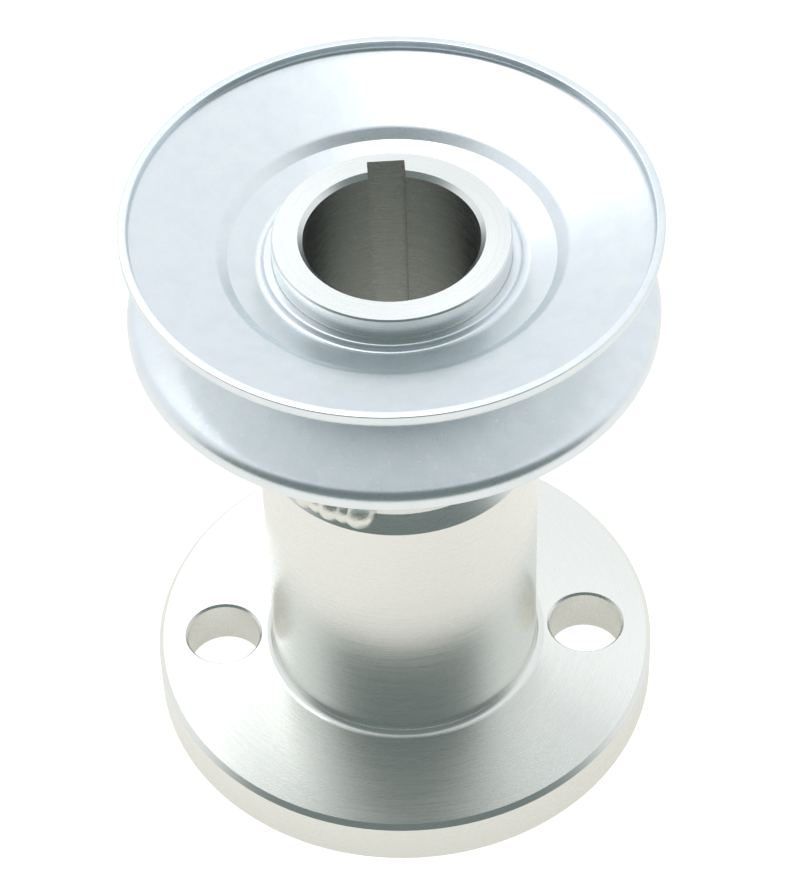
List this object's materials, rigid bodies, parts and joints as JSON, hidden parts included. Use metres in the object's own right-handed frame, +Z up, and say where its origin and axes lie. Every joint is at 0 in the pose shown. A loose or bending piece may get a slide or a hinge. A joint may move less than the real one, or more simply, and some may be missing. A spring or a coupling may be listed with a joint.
{
  "type": "mower blade adapter",
  "caption": "Keyed crankshaft adapter with a pressed steel V-belt sheave at the top, a round tube and a bolted flange that carries the blade.",
  "frame": {"origin": "centre of the crankshaft bore on the flange's bottom face", "axes": "+Z up the bore from the blade's side to the engine's side, +X through the two blade bolt holes, keyway close to +Y"},
  "size_m": [0.069, 0.069, 0.0871],
  "materials": {
    "tube_zinc": "bright zinc plating over turned steel",
    "sleeve_zinc": "bright zinc plating over turned steel",
    "sheet_zinc": "bright zinc plating over pressed sheet steel",
    "weld_zinc": "zinc plating over a rough weld bead"
  },
  "bodies": {
    "root": {"flanged_tube": "tube_zinc", "keyed_sleeve": "sleeve_zinc", "upper_sheave": "sheet_zinc", "lower_sheave": "sheet_zinc", "weld_beads": "weld_zinc"}
  },
  "joints": []
}
